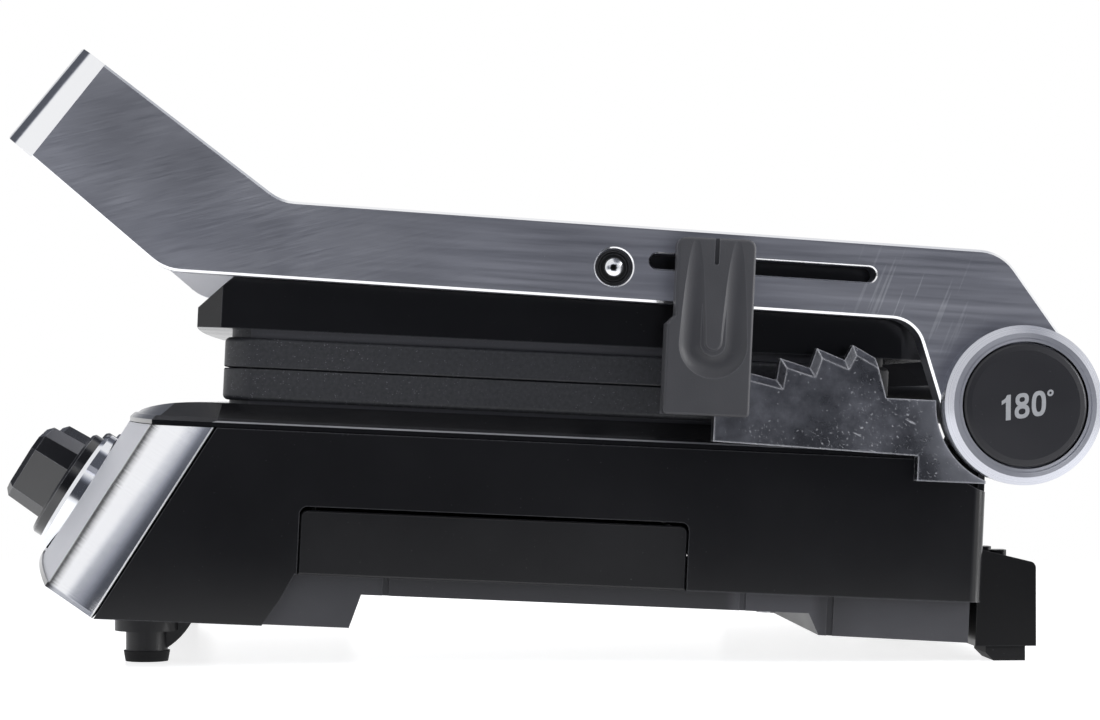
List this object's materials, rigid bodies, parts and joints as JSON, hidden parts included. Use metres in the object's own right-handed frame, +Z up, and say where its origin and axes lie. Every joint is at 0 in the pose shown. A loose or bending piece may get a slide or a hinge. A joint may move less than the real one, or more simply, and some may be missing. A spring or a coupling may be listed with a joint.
{
  "type": "panini press",
  "caption": "Contact grill with a cast U-shaped lift frame, a hanging upper plate, a toothed height stop, a side drip tray and raked front controls; it opens out flat.",
  "frame": {"origin": "on the counter, under the middle of the closed grill's bounding box", "axes": "+X to the user's right, +Y to the rear, +Z up"},
  "size_m": [0.344, 0.413, 0.2263],
  "materials": {
    "cast_aluminium": "fine brushed with polished edges",
    "gloss_black": "high gloss",
    "satin_black": "fine satin",
    "under_plastic": "fine grain",
    "slider_grey": "fine grain",
    "non_stick": "sparkling non-stick coat",
    "brushed_steel": "brushed",
    "chrome": "polished",
    "rubber": "matte",
    "rack_metal": "glossy with scuffs",
    "steel": "machined",
    "heater_tube": "heat tinted",
    "reflector_sheet": "bright sheet",
    "moulded_black": "moulded"
  },
  "bodies": {
    "base": {"base_shell": "gloss_black", "deck_frame": "gloss_black", "bottom_cover": "under_plastic", "front_trim": "brushed_steel", "control_fascia": "brushed_steel", "knob_bezel_right": "chrome", "knob_bezel_left": "chrome", "lower_grill_plate": "non_stick", "lower_heater": "heater_tube", "lower_reflector": "reflector_sheet", "thermostat_unit": "moulded_black", "timer_unit": "moulded_black", "terminal_block": "moulded_black", "rear_stand": "under_plastic", "front_feet": "under_plastic", "front_pads": "rubber", "rear_feet": "rubber", "height_rack": "rack_metal", "left_bracket": "rack_metal", "hinge_post_right": "satin_black", "hinge_post_left": "satin_black", "hinge_bushes": "satin_black", "cord_gland": "under_plastic", "cover_screws": "steel"},
    "lift": {"lift_frame": "cast_aluminium", "hinge_shaft": "steel", "hub_ring_right": "cast_aluminium", "hub_ring_left": "cast_aluminium", "hub_cap_left": "satin_black", "pivot_bolt_right": "steel", "pivot_bolt_left": "steel", "pivot_washers": "satin_black", "button_spring": "steel"},
    "head": {"head_shell": "gloss_black", "head_cover": "brushed_steel", "upper_grill_plate": "non_stick", "upper_heater": "heater_tube", "upper_reflector": "reflector_sheet"},
    "release": {"release_button": "satin_black"},
    "height_stop": {"height_slider": "slider_grey", "slider_clip": "slider_grey"},
    "temperature_control": {"temperature_knob": "gloss_black"},
    "timer_control": {"timer_knob": "gloss_black"},
    "tray": {"drip_tray": "satin_black"}
  },
  "joints": [
    {"name": "lift_hinge", "type": "hinge", "parent": "base", "child": "lift", "pos_m": [0, 0.17708, 0.09613], "axis": [-1, 0, 0], "range_deg": [0, 173]},
    {"name": "head_tilt", "type": "hinge", "parent": "lift", "child": "head", "pos_m": [0, 0.02672, 0.14681], "axis": [-1, 0, 0], "range_deg": [0, 7.2]},
    {"name": "release_press", "type": "slide", "parent": "lift", "child": "release", "axis": [-1, 0, 0], "range_m": [0, 0.0035], "stiffness_N_per_m": 900, "deforming": ["button_spring"]},
    {"name": "slider_slide", "type": "slide", "parent": "lift", "child": "height_stop", "axis": [0, 0.9982, -0.0607], "range_m": [-0.014, 0.01]},
    {"name": "temperature_turn", "type": "hinge", "parent": "base", "child": "temperature_control", "pos_m": [-0.035, -0.14821, 0.04198], "axis": [0, -0.8425, 0.5388], "range_deg": [-270, 0]},
    {"name": "timer_turn", "type": "hinge", "parent": "base", "child": "timer_control", "pos_m": [0.035, -0.14821, 0.04198], "axis": [0, -0.8425, 0.5388], "range_deg": [-300, 0]},
    {"name": "tray_slide", "type": "slide", "parent": "base", "child": "tray", "axis": [1, 0, 0], "range_m": [0, 0.2]}
  ],
  "couplings": [
    {"joint": "head_tilt", "follows": "lift_hinge", "ratio": 0.040462}
  ]
}
